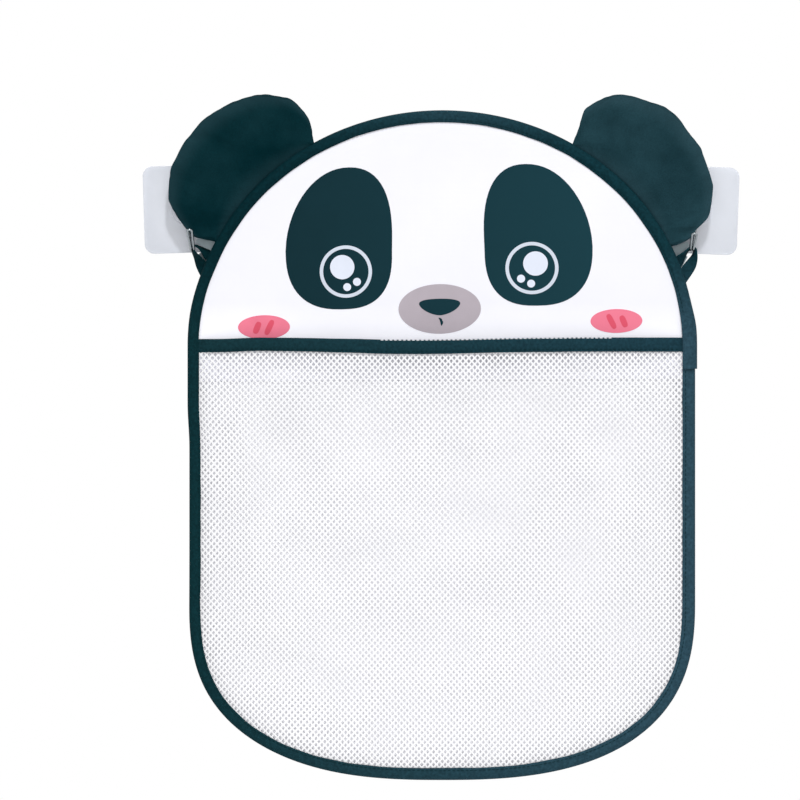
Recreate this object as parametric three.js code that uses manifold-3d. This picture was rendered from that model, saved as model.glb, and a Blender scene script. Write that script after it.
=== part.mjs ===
// A hanging bath toy organizer: an animal-head bag with a net pocket, two padded ears and two strap loops,
// hung on a pair of adhesive wall hooks.
// Millimetres, +Z up. The wall is the plane y = 0, the front faces -y, and z = 0 is at the pads' middle.
// A depth is a distance in front of the wall.
import * as THREE from "three";
import { TessellateModifier } from "three/addons/modifiers/TessellateModifier.js";
import { mergeVertices } from "three/addons/utils/BufferGeometryUtils.js";
import Module from "manifold-3d";

const wasm = await Module();
wasm.setup();

// Running clearance between neighbouring pieces
const GAP = 0.3;
const PLY_GAP = 0.2;
const CUT_MARGIN = 1;

// Bag outline: a half ellipse over straight sides, closed below by a superellipse
const BAG_HALF_WIDTH = 164.5;
const DOME_RISE = 152.8;
const SHOULDER_Z = -87.8;
const BASE_Z = -253.5;
const BASE_DROP = 117.2;
const BASE_POWER = 2.6;
const DOME_STEPS = 40;
const BASE_STEPS = 36;

// Edge binding: a tape folded round the edges of the sheets
const BINDING_WIDTH = 8;
const TAPE_THICKNESS = 0.9;
const TAPE_FOLD_RADIUS = 1.6;
const BINDING_BACK = 11.8;

// Sheets of the bag
const CLOTH_THICKNESS = 0.7;
const FOAM_THICKNESS = 2.0;
const FACE_TUCK = 20;

// Net pocket, with its bound mouth
const MOUTH_TOP_Z = -83.8;
const MOUTH_WIDTH = 8.6;
const MOUTH_TAPE_THICKNESS = 0.6;
const MOUTH_STEPS = 28;
const NET_THICKNESS = 1.0;
const NET_BOW = 13;
const NET_HEM = 6;
const NET_COLUMN = 27;
const NET_ROW = 15;
const NET_HOLE_WIDTH = 13;
const NET_HOLE_HEIGHT = 16;
const NET_FACET = 36;
const NET_FACET_PASSES = 12;

// Ears: flat oval pillows of two cloths over wadding, cut to the head, with the lower end beside the hook
const EAR_END_OVERHANG = 1.3;
const EAR_END_Z = -14.5;
const EAR_TURN = THREE.MathUtils.degToRad(45.9);
const EAR_HALF_LENGTH = 55;
const EAR_HALF_HEIGHT = 43.6;
const EAR_THICKNESS = 5.2;
const EAR_RIM = 1.4;
const EAR_CROWN = 15;
const EAR_DEPTH = 14.8;
const EAR_STEPS = 20;

// Strap loops, sewn behind the binding below the ears
const STRAP_THICKNESS = 1.6;
const STRAP_HOOK_END = new THREE.Vector2(BAG_HALF_WIDTH - 1.3, -27.7);
const STRAP_HOLE_END = new THREE.Vector2(BAG_HALF_WIDTH - 4.1, -35.4);
const STRAP_SEWN_END = new THREE.Vector2(BAG_HALF_WIDTH - 12.1, -45);
const STRAP_HOLE_RADIUS = 4.0;
const STRAP_HOOK_BAND = 2.0;
const STRAP_SEWN_RADIUS = 7;
const STRAP_STEPS = 8;

// Adhesive hooks: a square pad, a round boss and a hairpin wire
const HOOK_X = BAG_HALF_WIDTH + 1.6;
const PAD_SIDE = 56.5;
const PAD_CORNER = 6.5;
const PAD_CORNER_STEPS = 5;
const PAD_THICKNESS = 1.0;
const ADHESIVE_MARGIN = 1.5;
const ADHESIVE_THICKNESS = 0.6;
const BOSS_RADIUS = 10;
const BOSS_HEIGHT = 5.2;
const BOSS_ROUND = 2.6;
const BOSS_ROUND_STEPS = 4;
const BOSS_SIDES = 28;
const WIRE_RADIUS = 0.75;
const WIRE_SPACING = 3.0;
const WIRE_SIDES = 8;
const WIRE_STEPS = 52;
const HOOK_LEAN = THREE.MathUtils.degToRad(8);
const HOOK_BEND_RADIUS = 4;
const HOOK_BEND_Z = -22.5;
const HOOK_BEND_STEPS = 7;
const HOOK_SEAT_DEPTH = 4.4;
const HOOK_SEAT_TOP_Z = 3;
const HOOK_SEAT_BOTTOM_Z = -8;
const HOOK_TIP_Z = -13;
const HOOK_TIP_STEPS = 6;
const HOOK_TIP_SLOPE = THREE.MathUtils.degToRad(35);

// Places that follow from the sizes above
const EAR_X = BAG_HALF_WIDTH + EAR_END_OVERHANG - EAR_HALF_LENGTH * Math.cos(EAR_TURN);
const EAR_Z = EAR_END_Z + EAR_HALF_LENGTH * Math.sin(EAR_TURN);
const BACK_PANEL_BACK = BINDING_BACK + TAPE_THICKNESS + PLY_GAP;
const BACK_PANEL_FRONT = BACK_PANEL_BACK + CLOTH_THICKNESS;
const FOAM_BACK = BACK_PANEL_FRONT + PLY_GAP;
const FACE_BACK = FOAM_BACK + FOAM_THICKNESS + PLY_GAP;
const FACE_FRONT = FACE_BACK + CLOTH_THICKNESS;
const SLOT_FRONT = FACE_FRONT + PLY_GAP;
const BINDING_FRONT = SLOT_FRONT + TAPE_THICKNESS;
const NET_BACK = FACE_FRONT + GAP + MOUTH_TAPE_THICKNESS + PLY_GAP;
const NET_FRONT = NET_BACK + NET_THICKNESS;
const NET_INSET = BINDING_WIDTH + GAP;
const NET_TOP_Z = MOUTH_TOP_Z - MOUTH_TAPE_THICKNESS - GAP;
const NET_BOTTOM_Z = BASE_Z - BASE_DROP + NET_INSET;
const STRAP_FRONT = BINDING_BACK - GAP;
const STRAP_BACK = STRAP_FRONT - STRAP_THICKNESS;
const STRAP_DEPTH = (STRAP_FRONT + STRAP_BACK) / 2;
const PAD_FRONT = ADHESIVE_THICKNESS + PAD_THICKNESS;

// Colours
const TAPE = { color: 0x14262b, roughness: 0.8, metalness: 0 };
const EAR_CLOTH = { color: 0x12333b, roughness: 0.9, metalness: 0 };
const WHITE_CLOTH = { color: 0xf4f4fa, roughness: 0.7, metalness: 0 };
const NET = { color: 0xf7f7fb, roughness: 0.75, metalness: 0 };
const FOAM = { color: 0xe9e7df, roughness: 0.95, metalness: 0 };
const FILM = { color: 0xdee2ee, roughness: 0.15, metalness: 0 };
const GLUE = { color: 0xe8ebf2, roughness: 0.4, metalness: 0 };
const STEEL = { color: 0xc9ccd0, roughness: 0.22, metalness: 1 };

// Booleans

function solidOf(geometry) {
  const bare = new THREE.BufferGeometry();
  bare.setAttribute("position", geometry.getAttribute("position"));
  bare.setIndex(geometry.index);
  const merged = mergeVertices(bare, 1e-4);
  return new wasm.Manifold(
    new wasm.Mesh({
      numProp: 3,
      vertProperties: new Float32Array(merged.attributes.position.array),
      triVerts: new Uint32Array(merged.index.array),
    }),
  );
}

function geometryOf(solid) {
  const mesh = solid.getMesh();
  const geometry = new THREE.BufferGeometry();
  geometry.setAttribute("position", new THREE.BufferAttribute(mesh.vertProperties, 3));
  geometry.setIndex(new THREE.BufferAttribute(mesh.triVerts, 1));
  return geometry;
}

function cut(geometry, ...tools) {
  const solid = tools.reduce((rest, tool) => rest.subtract(solidOf(tool)), solidOf(geometry));
  return geometryOf(solid);
}

function named(name, geometry, look) {
  const mesh = new THREE.Mesh(geometry, new THREE.MeshStandardMaterial(look));
  mesh.name = name;
  return mesh;
}

// Profiles and plates. A plate is an upright outline in x and z, thick from one depth to another.

function plate(shape, back, front, round = 0, roundDepth = round, curveSegments = 12) {
  const geometry = new THREE.ExtrudeGeometry(shape, {
    depth: front - back - 2 * roundDepth,
    curveSegments,
    bevelEnabled: round > 0,
    bevelSize: round,
    bevelOffset: -round,
    bevelThickness: roundDepth,
    bevelSegments: 2,
  });
  return geometry.rotateX(Math.PI / 2).translate(0, -back - roundDepth, 0);
}

function domeArc(inset) {
  const points = [];
  for (let i = 0; i <= DOME_STEPS; i++) {
    const angle = (Math.PI * i) / DOME_STEPS;
    const x = (BAG_HALF_WIDTH - inset) * Math.cos(angle);
    points.push(new THREE.Vector2(x, SHOULDER_Z + (DOME_RISE - inset) * Math.sin(angle)));
  }
  return points;
}

function baseArc(inset) {
  const points = [];
  for (let i = 0; i <= BASE_STEPS; i++) {
    const across = Math.cos((Math.PI * i) / BASE_STEPS);
    const down = Math.sqrt(1 - across * across);
    const x = -Math.sign(across) * Math.abs(across) ** (2 / BASE_POWER);
    const z = -(down ** (2 / BASE_POWER));
    points.push(new THREE.Vector2((BAG_HALF_WIDTH - inset) * x, BASE_Z + (BASE_DROP - inset) * z));
  }
  return points;
}

function bagShape(inset) {
  return new THREE.Shape([...domeArc(inset), ...baseArc(inset)]);
}

function headShape(inset, bottomZ) {
  const halfWidth = BAG_HALF_WIDTH - inset;
  const corners = [new THREE.Vector2(-halfWidth, bottomZ), new THREE.Vector2(halfWidth, bottomZ)];
  return new THREE.Shape([...domeArc(inset), ...corners]);
}

function pocketShape(inset, topZ) {
  const halfWidth = BAG_HALF_WIDTH - inset;
  const mouth = [];
  for (let i = 0; i <= MOUTH_STEPS; i++) {
    mouth.push(new THREE.Vector2(halfWidth * (1 - (2 * i) / MOUTH_STEPS), topZ));
  }
  return new THREE.Shape([...mouth, ...baseArc(inset)]);
}

function pocketHalfWidth(inset, z) {
  const fall = Math.max(0, BASE_Z - z) / (BASE_DROP - inset);
  return (BAG_HALF_WIDTH - inset) * Math.max(0, 1 - fall ** BASE_POWER) ** (1 / BASE_POWER);
}

// The bag's sheets and edge binding

function edgeBinding() {
  const folded = plate(bagShape(0), BINDING_BACK, BINDING_FRONT, TAPE_FOLD_RADIUS);
  const window = plate(bagShape(BINDING_WIDTH), BINDING_BACK - CUT_MARGIN, BINDING_FRONT + CUT_MARGIN);
  const slot = plate(bagShape(TAPE_THICKNESS), BINDING_BACK + TAPE_THICKNESS, SLOT_FRONT);
  return cut(folded, window, slot);
}

function bagSheets() {
  const inset = TAPE_THICKNESS + GAP;
  const faceBottomZ = MOUTH_TOP_Z - MOUTH_WIDTH - FACE_TUCK;
  const head = headShape(inset, faceBottomZ);
  return [
    named("back_panel", plate(bagShape(inset), BACK_PANEL_BACK, BACK_PANEL_FRONT), WHITE_CLOTH),
    named("head_foam", plate(head, FOAM_BACK, FOAM_BACK + FOAM_THICKNESS), FOAM),
    named("face_panel", plate(head, FACE_BACK, FACE_FRONT), WHITE_CLOTH),
    named("edge_binding", edgeBinding(), TAPE),
  ];
}

// The net pocket stands proud of the bag, most at the middle of its mouth.

function bowOut(geometry) {
  const position = geometry.getAttribute("position");
  for (let i = 0; i < position.count; i++) {
    const x = position.getX(i);
    const z = position.getZ(i);
    const height = Math.min(1, Math.max(0, (z - NET_BOTTOM_Z) / (NET_TOP_Z - NET_BOTTOM_Z)));
    const halfWidth = Math.max(1, pocketHalfWidth(NET_INSET, z));
    const across = Math.max(0, 1 - (x / halfWidth) ** 2);
    position.setY(i, position.getY(i) - NET_BOW * across * Math.sin((height * Math.PI) / 2));
  }
  return geometry;
}

function diamond(x, z) {
  const path = new THREE.Path();
  path.moveTo(x + NET_HOLE_WIDTH / 2, z);
  path.lineTo(x, z - NET_HOLE_HEIGHT / 2);
  path.lineTo(x - NET_HOLE_WIDTH / 2, z);
  path.lineTo(x, z + NET_HOLE_HEIGHT / 2);
  path.closePath();
  return path;
}

function netPocket() {
  const shape = pocketShape(NET_INSET, NET_TOP_Z);
  const hem = NET_INSET + NET_HEM;
  const topRow = MOUTH_TOP_Z - MOUTH_WIDTH - NET_HEM;
  const rows = Math.floor((topRow - NET_BOTTOM_Z) / NET_ROW);
  const columns = Math.ceil(BAG_HALF_WIDTH / NET_COLUMN);
  for (let row = 0; row < rows; row++) {
    const z = topRow - (row + 0.5) * NET_ROW;
    const low = z - NET_HOLE_HEIGHT / 2;
    const high = z + NET_HOLE_HEIGHT / 2;
    for (let column = -columns; column <= columns; column++) {
      const x = (column + (row % 2) / 2) * NET_COLUMN;
      const side = Math.abs(x) + NET_HOLE_WIDTH / 2;
      const inside = side < pocketHalfWidth(hem, z) && Math.abs(x) < pocketHalfWidth(hem, low);
      if (inside && high < topRow + NET_HEM) shape.holes.push(diamond(x, z));
    }
  }
  const facets = new TessellateModifier(NET_FACET, NET_FACET_PASSES);
  return bowOut(facets.modify(plate(shape, NET_BACK, NET_FRONT)));
}

function mouthBinding() {
  const back = -(NET_BACK - PLY_GAP - MOUTH_TAPE_THICKNESS);
  const front = -(NET_FRONT + PLY_GAP + MOUTH_TAPE_THICKNESS);
  const bottom = MOUTH_TOP_Z - MOUTH_WIDTH;
  const fold = new THREE.Shape();
  fold.moveTo(back, bottom);
  fold.lineTo(back, MOUTH_TOP_Z);
  fold.lineTo(front, MOUTH_TOP_Z);
  fold.lineTo(front, bottom);
  fold.lineTo(front + MOUTH_TAPE_THICKNESS, bottom);
  fold.lineTo(front + MOUTH_TAPE_THICKNESS, MOUTH_TOP_Z - MOUTH_TAPE_THICKNESS);
  fold.lineTo(back - MOUTH_TAPE_THICKNESS, MOUTH_TOP_Z - MOUTH_TAPE_THICKNESS);
  fold.lineTo(back - MOUTH_TAPE_THICKNESS, bottom);
  fold.closePath();
  const halfLength = BAG_HALF_WIDTH - NET_INSET - GAP;
  const options = { depth: 2 * halfLength, steps: MOUTH_STEPS, bevelEnabled: false };
  const along = new THREE.Matrix4().makeBasis(
    new THREE.Vector3(0, 1, 0),
    new THREE.Vector3(0, 0, 1),
    new THREE.Vector3(1, 0, 0),
  );
  const straight = new THREE.ExtrudeGeometry(fold, options).applyMatrix4(along).translate(-halfLength, 0, 0);
  return bowOut(straight);
}

// Ears

function earPillow(side, inset, thickness, rim) {
  const shape = new THREE.Shape();
  const turn = side < 0 ? EAR_TURN : Math.PI - EAR_TURN;
  const halfLength = EAR_HALF_LENGTH - inset;
  const halfHeight = EAR_HALF_HEIGHT - inset;
  shape.absellipse(side * EAR_X, EAR_Z, halfLength, halfHeight, 0, 2 * Math.PI, false, turn);
  const back = EAR_DEPTH - thickness / 2;
  return plate(shape, back, back + thickness, EAR_CROWN, (thickness - rim) / 2, EAR_STEPS);
}

function ear(side, name) {
  const head = plate(bagShape(-GAP), EAR_DEPTH - EAR_THICKNESS, EAR_DEPTH + EAR_THICKNESS);
  const reach = 4 * EAR_HALF_LENGTH;
  const half = new THREE.BoxGeometry(reach, reach, reach).translate(side * EAR_X, 0, EAR_Z);
  const seam = PLY_GAP / 2;
  const frontHalf = half.clone().translate(0, -EAR_DEPTH + seam - reach / 2, 0);
  const backHalf = half.translate(0, -EAR_DEPTH - seam + reach / 2, 0);
  const cover = earPillow(side, 0, EAR_THICKNESS, EAR_RIM);
  const hollowThickness = EAR_THICKNESS - 2 * CLOTH_THICKNESS;
  const hollow = earPillow(side, CLOTH_THICKNESS, hollowThickness, EAR_RIM / 2);
  const wadding = earPillow(side, CLOTH_THICKNESS + GAP, hollowThickness - 2 * PLY_GAP, EAR_RIM / 4);
  return [
    named(`${name}_front`, cut(cover, hollow, backHalf, head), EAR_CLOTH),
    named(`${name}_wadding`, cut(wadding, head), FOAM),
    named(`${name}_back`, cut(cover, hollow, frontHalf, head), EAR_CLOTH),
  ];
}

// Strap loops

function stadium(path, start, startRadius, end, endRadius) {
  const heading = end.clone().sub(start).angle();
  path.absarc(start.x, start.y, startRadius, heading + Math.PI / 2, heading + 1.5 * Math.PI);
  path.absarc(end.x, end.y, endRadius, heading - Math.PI / 2, heading + Math.PI / 2);
  path.closePath();
  return path;
}

function strap(side) {
  const mirrored = (point) => new THREE.Vector2(side * point.x, point.y);
  const hookEnd = mirrored(STRAP_HOOK_END);
  const outerRadius = STRAP_HOLE_RADIUS + STRAP_HOOK_BAND;
  const shape = stadium(new THREE.Shape(), hookEnd, outerRadius, mirrored(STRAP_SEWN_END), STRAP_SEWN_RADIUS);
  const hole = stadium(
    new THREE.Path(),
    hookEnd,
    STRAP_HOLE_RADIUS,
    mirrored(STRAP_HOLE_END),
    STRAP_HOLE_RADIUS,
  );
  shape.holes.push(hole);
  return plate(shape, STRAP_BACK, STRAP_FRONT, 0, 0, STRAP_STEPS);
}

// Adhesive hooks

function roundedSquare(side, corner) {
  const flat = side / 2 - corner;
  const shape = new THREE.Shape();
  shape.absarc(flat, flat, corner, 0, 0.5 * Math.PI);
  shape.absarc(-flat, flat, corner, 0.5 * Math.PI, Math.PI);
  shape.absarc(-flat, -flat, corner, Math.PI, 1.5 * Math.PI);
  shape.absarc(flat, -flat, corner, 1.5 * Math.PI, 2 * Math.PI);
  shape.closePath();
  return shape;
}

// One leg of the hairpin runs down from the boss, round the bend under the strap and up the sloping tip.
function hookLeg(x) {
  const points = [
    new THREE.Vector3(x, -HOOK_SEAT_DEPTH, HOOK_SEAT_TOP_Z),
    new THREE.Vector3(x, -HOOK_SEAT_DEPTH, HOOK_SEAT_BOTTOM_Z),
  ];
  for (let i = 0; i <= HOOK_BEND_STEPS; i++) {
    const angle = ((Math.PI - HOOK_TIP_SLOPE) * i) / HOOK_BEND_STEPS;
    const y = -STRAP_DEPTH + HOOK_BEND_RADIUS * Math.cos(angle);
    points.push(new THREE.Vector3(x, y, HOOK_BEND_Z - HOOK_BEND_RADIUS * Math.sin(angle)));
  }
  return points;
}

function hairpin() {
  const left = hookLeg(-WIRE_SPACING / 2);
  const right = hookLeg(WIRE_SPACING / 2).reverse();
  const bendEnd = left.at(-1);
  const up = new THREE.Vector3(0, -Math.sin(HOOK_TIP_SLOPE), Math.cos(HOOK_TIP_SLOPE));
  const turnRadius = WIRE_SPACING / 2;
  const tipLength = (HOOK_TIP_Z - bendEnd.z) / up.z - turnRadius - WIRE_RADIUS;
  const tip = [];
  for (let i = 0; i <= HOOK_TIP_STEPS; i++) {
    const angle = (Math.PI * i) / HOOK_TIP_STEPS;
    const point = new THREE.Vector3(-turnRadius * Math.cos(angle), bendEnd.y, bendEnd.z);
    tip.push(point.addScaledVector(up, tipLength + turnRadius * Math.sin(angle)));
  }
  return new THREE.CatmullRomCurve3([...left, ...tip, ...right]);
}

function wire(radius) {
  const section = new THREE.Shape().absarc(0, 0, radius, 0, 2 * Math.PI);
  const options = { steps: WIRE_STEPS, curveSegments: WIRE_SIDES / 2, extrudePath: hairpin() };
  return new THREE.ExtrudeGeometry(section, options);
}

function boss() {
  const profile = [new THREE.Vector2(0, 0), new THREE.Vector2(BOSS_RADIUS, 0)];
  for (let i = 0; i <= BOSS_ROUND_STEPS; i++) {
    const angle = (0.5 * Math.PI * i) / BOSS_ROUND_STEPS;
    const radius = BOSS_RADIUS - BOSS_ROUND * (1 - Math.cos(angle));
    profile.push(new THREE.Vector2(radius, BOSS_HEIGHT - BOSS_ROUND * (1 - Math.sin(angle))));
  }
  profile.push(new THREE.Vector2(0, BOSS_HEIGHT));
  const dome = new THREE.LatheGeometry(profile, BOSS_SIDES).rotateX(Math.PI).translate(0, -PAD_FRONT, 0);
  return cut(dome, wire(WIRE_RADIUS + GAP));
}

function wallHook(side, name) {
  const group = new THREE.Group();
  group.position.x = side * HOOK_X;
  const glueShape = roundedSquare(PAD_SIDE - 2 * ADHESIVE_MARGIN, PAD_CORNER - ADHESIVE_MARGIN);
  const padShape = roundedSquare(PAD_SIDE, PAD_CORNER);
  const glue = plate(glueShape, 0, ADHESIVE_THICKNESS, 0, 0, PAD_CORNER_STEPS);
  const pad = plate(padShape, ADHESIVE_THICKNESS, PAD_FRONT, 0, 0, PAD_CORNER_STEPS);
  group.add(named(`${name}_adhesive`, glue, GLUE), named(`${name}_pad`, pad, FILM));
  const leaning = new THREE.Group();
  leaning.rotation.y = side * HOOK_LEAN;
  leaning.add(named(`${name}_boss`, boss(), FILM), named(`${name}_hook`, wire(WIRE_RADIUS), STEEL));
  group.add(leaning);
  return group;
}

const organizer = new THREE.Group();
organizer.add(...bagSheets());
organizer.add(named("mesh_pocket", netPocket(), NET), named("mouth_binding", mouthBinding(), TAPE));
for (const [side, name] of [
  [-1, "left"],
  [1, "right"],
]) {
  organizer.add(...ear(side, `${name}_ear`));
  organizer.add(named(`${name}_strap`, strap(side), TAPE));
  organizer.add(wallHook(side, name));
}

export default organizer;
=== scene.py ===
from math import atan2, cos, exp, hypot, pi, radians, sin, sqrt, tau

import bmesh
import bpy
import numpy as np
from bpy.props import FloatProperty, FloatVectorProperty, IntProperty, PointerProperty
from mathutils import Matrix, Vector, noise
from mathutils.kdtree import KDTree


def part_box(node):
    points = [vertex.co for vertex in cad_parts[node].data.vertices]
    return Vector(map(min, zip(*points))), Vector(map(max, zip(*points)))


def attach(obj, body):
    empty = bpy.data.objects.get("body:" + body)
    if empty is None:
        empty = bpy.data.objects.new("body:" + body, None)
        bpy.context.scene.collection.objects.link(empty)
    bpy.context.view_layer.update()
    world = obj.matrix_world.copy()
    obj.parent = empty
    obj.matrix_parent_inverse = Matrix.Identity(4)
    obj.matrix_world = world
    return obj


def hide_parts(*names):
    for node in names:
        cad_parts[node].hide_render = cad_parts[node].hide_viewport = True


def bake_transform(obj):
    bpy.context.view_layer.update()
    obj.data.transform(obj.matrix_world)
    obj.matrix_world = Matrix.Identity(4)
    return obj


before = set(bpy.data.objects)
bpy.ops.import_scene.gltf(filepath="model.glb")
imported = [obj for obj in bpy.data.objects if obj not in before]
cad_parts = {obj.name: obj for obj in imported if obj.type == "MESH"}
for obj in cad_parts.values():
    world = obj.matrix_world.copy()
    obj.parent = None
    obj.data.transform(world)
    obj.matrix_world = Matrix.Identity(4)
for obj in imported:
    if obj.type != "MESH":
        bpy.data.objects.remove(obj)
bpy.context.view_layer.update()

bl_info = {
    "name": "Hanging Bath Toy Bag",
    "version": (1, 0, 0),
    "blender": (4, 5, 0),
    "location": "View3D > Sidebar > Bath Bag",
    "description": "Dresses the packed bath toy bag in cloth, net, tape, film and wire",
    "category": "Add Mesh",
}

MM = 0.001
# Points nearer to each other than this are one.
MERGE = 0.001 * MM

# The bag's outline, as the solids have it: a half ellipse over straight sides, closed below by a superellipse.
# A depth is a distance in front of the wall, and an inset is a distance in from the outline.
BINDING_LOW, BINDING_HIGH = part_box("edge_binding")
HALF_WIDTH = BINDING_HIGH.x
SHOULDER_Z = -87.8 * MM
BASE_Z = -253.5 * MM
BASE_POWER = 2.6
DOME_RISE = BINDING_HIGH.z - SHOULDER_Z
BASE_DROP = BASE_Z - BINDING_LOW.z

# Depths of the layers
BACK_CLOTH_DEPTH = 13.6 * MM
HEAD_BACK_DEPTH = 13.8 * MM
HEAD_FRONT_DEPTH = 16.7 * MM
NET_EDGE_DEPTH = 17.15 * MM
NET_DEPTH = 18.3 * MM
EAR_DEPTH = 14.8 * MM
STRAP_DEPTH = 10.7 * MM

# The pocket's mouth and the padded head panel behind it
MOUTH_TOP_Z = -83.8 * MM
HEAD_BOTTOM_Z = -112.4 * MM
NET_INSET = 8.3 * MM
POCKET_BOTTOM_Z = BINDING_LOW.z + NET_INSET

# The adhesive hooks
HOOK_X = 166.1 * MM
HOOK_LEAN = radians(8)
PAD_BACK = 0.6 * MM

# The picture's width in pixels, the size of a pixel and the pixel where the origin falls
PICTURE = 800
PIXEL = 0.65 * MM
ORIGIN_PIXEL = (442.3, 210)


# Colours and materials


def linear(hex_colour):
    """The linear colour of an sRGB hex value, with full alpha."""
    parts = [int(hex_colour[i : i + 2], 16) / 255 for i in (1, 3, 5)]
    return [c / 12.92 if c <= 0.04045 else ((c + 0.055) / 1.055) ** 2.4 for c in parts] + [1.0]


def shaded(colour, amount):
    """A colour made darker or lighter by a factor."""
    return [min(1.0, c * amount) for c in colour[:3]] + [1.0]


COLOUR_MIX = {"data_type": "RGBA"}
COLOUR_TIMES = {"data_type": "RGBA", "blend_type": "MULTIPLY"}
COLOUR_SUM = {"data_type": "RGBA", "blend_type": "ADD"}

# Painted shade: the factors that darken the tape beside the left and right ear; and the painted sheen, a grey added
# to the ears' cloth along their edges and roots
EAR_PAINTED_SHADE = linear("#86D4D7"), linear("#7CBCB6")
EAR_PAINTED_SHEEN = linear("#182226")


def add_node(tree, kind, settings=None, inputs=None):
    """Adds a node with its settings, links or sets its inputs, and gives its outputs."""
    made = tree.nodes.new("ShaderNode" + kind)
    for name, value in (settings or {}).items():
        setattr(made, name, value)
    for socket, value in (inputs or {}).items():
        if isinstance(value, bpy.types.NodeSocket):
            tree.links.new(value, made.inputs[socket])
        else:
            made.inputs[socket].default_value = value
    return made.outputs


def new_material(name, **sockets):
    """A material with plain values on its shader's own sockets, its node tree and its coordinates."""
    made = bpy.data.materials.new(name)
    made.use_nodes = True
    tree = made.node_tree
    for socket, value in sockets.items():
        tree.nodes["Principled BSDF"].inputs[socket.replace("_", " ")].default_value = value
    return made, tree, add_node(tree, "TexCoord")


def connect(tree, **sockets):
    """Links outputs to the shader's sockets of these names."""
    for socket, output in sockets.items():
        tree.links.new(output, tree.nodes["Principled BSDF"].inputs[socket.replace("_", " ")])


def bands(period):
    """The Wave Texture scale that repeats after this many metres."""
    return pi / (10 * period)


def add_weave(tree, spot, spacing, height):
    """A plain weave of threads this far apart, as a bump normal."""
    shape = {"Vector": spot, "Scale": bands(spacing), "Distortion": 0.6, "Detail": 1.0}
    warp, weft = [add_node(tree, "TexWave", {"bands_direction": way}, shape)["Fac"] for way in "XZ"]
    crossing = add_node(tree, "Math", {"operation": "MULTIPLY"}, {0: warp, 1: weft})[0]
    return add_node(tree, "Bump", None, {"Height": crossing, "Strength": 0.5, "Distance": height})["Normal"]


def add_mottle(tree, spot, size, dark, light):
    """Two close colours that drift into each other over this size."""
    shape = {"Vector": spot, "Scale": 1 / size, "Detail": 3.0, "Roughness": 0.55}
    cloud = add_node(tree, "TexNoise", None, shape)["Fac"]
    spread = add_node(tree, "MapRange", None, {"Value": cloud, "From Min": 0.3, "From Max": 0.7})["Result"]
    return add_node(tree, "Mix", COLOUR_MIX, {"Factor": spread, 6: dark, 7: light})[2]


def add_tone(tree, colour, pattern, least, most):
    """A colour made darker and lighter by a pattern, between these factors."""
    reach = {"Value": pattern, "From Min": 0.3, "From Max": 0.7, "To Min": least, "To Max": most}
    tone = add_node(tree, "MapRange", None, reach)["Result"]
    return add_node(tree, "Mix", COLOUR_TIMES, {"Factor": 1.0, 6: colour, 7: tone})[2]


def add_fade(tree, spot, left, right):
    """A colour that pales from the bag's left side to its right, as the picture's light leaves it."""
    across = add_node(tree, "SeparateXYZ", None, {"Vector": spot})["X"]
    reach = {"Value": across, "From Min": -HALF_WIDTH, "From Max": HALF_WIDTH}
    share = add_node(tree, "MapRange", None, reach)["Result"]
    return add_node(tree, "Mix", COLOUR_MIX, {"Factor": share, 6: left, 7: right})[2]


def add_sides(tree, spot):
    """How far a place is from the bag's middle line, and its height."""
    axes = add_node(tree, "SeparateXYZ", None, {"Vector": spot})
    return add_node(tree, "Math", {"operation": "ABSOLUTE"}, {0: axes["X"]})[0], axes["Z"]


def add_slopes(tree, operation, slopes, form="SMOOTHSTEP"):
    """Two slopes of (value, low, high, least, most), taken together by a math operation."""
    ends = []
    for value, low, high, least, most in slopes:
        reach = {"Value": value, "From Min": low, "From Max": high, "To Min": least, "To Max": most}
        ends.append(add_node(tree, "MapRange", {"interpolation_type": form}, reach)["Result"])
    return add_node(tree, "Math", {"operation": operation}, {0: ends[0], 1: ends[1]})[0]


def white_cloth(name, colour, painted_shade_below_mouth=1.0, painted_light_at_mouth=1.0):
    """Polyester plain weave, bleached: matt, with a faint sheen; whiter by a painted light factor towards the
    pocket's mouth, against the shade there, and greyer by a painted shade factor below the mouth, where it hangs
    behind the net."""
    made, tree, place = new_material(name, Roughness=0.75, Specular_IOR_Level=0.15)
    spot = place["Object"]
    white = add_mottle(tree, spot, 60 * MM, shaded(colour, 0.965), colour)
    axes = add_node(tree, "SeparateXYZ", None, {"Vector": spot})
    square = add_node(tree, "Math", {"operation": "POWER"}, {0: axes["X"], 1: 2.0})[0]
    slant = add_node(tree, "Math", {"operation": "MULTIPLY_ADD"}, {0: square, 1: -0.9, 2: axes["Z"]})[0]
    # Painted shade: greyer below the mouth tape, behind the net, reaching less far down towards the sides.
    above_mouth = (axes["Z"], MOUTH_TOP_Z - 5 * MM, MOUTH_TOP_Z - 3 * MM, 0, 1)
    painted_shade_zone = (slant, MOUTH_TOP_Z - 21 * MM, MOUTH_TOP_Z - 11 * MM, 1, painted_shade_below_mouth)
    whole = add_slopes(tree, "MAXIMUM", (above_mouth, painted_shade_zone), "LINEAR")
    # Painted light: whiter towards the mouth tape, against the shade it casts, by the full factor from 2 mm above the
    # mouth down.
    reach = {"From Min": MOUTH_TOP_Z + 2 * MM, "From Max": MOUTH_TOP_Z + 24 * MM, "To Min": painted_light_at_mouth}
    painted_light_zone = add_node(tree, "MapRange", None, {"Value": axes["Z"], **reach})["Result"]
    shade = add_node(tree, "Math", {"operation": "MULTIPLY"}, {0: whole, 1: painted_light_zone})[0]
    greyed = add_node(tree, "Mix", COLOUR_TIMES, {"Factor": 1.0, 6: white, 7: shade})[2]
    # The threads are 0.3 mm apart, and drawn at 0.8 mm so that they show.
    connect(tree, Base_Color=greyed, Normal=add_weave(tree, spot, 0.8 * MM, 0.05 * MM))
    return made


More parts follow.
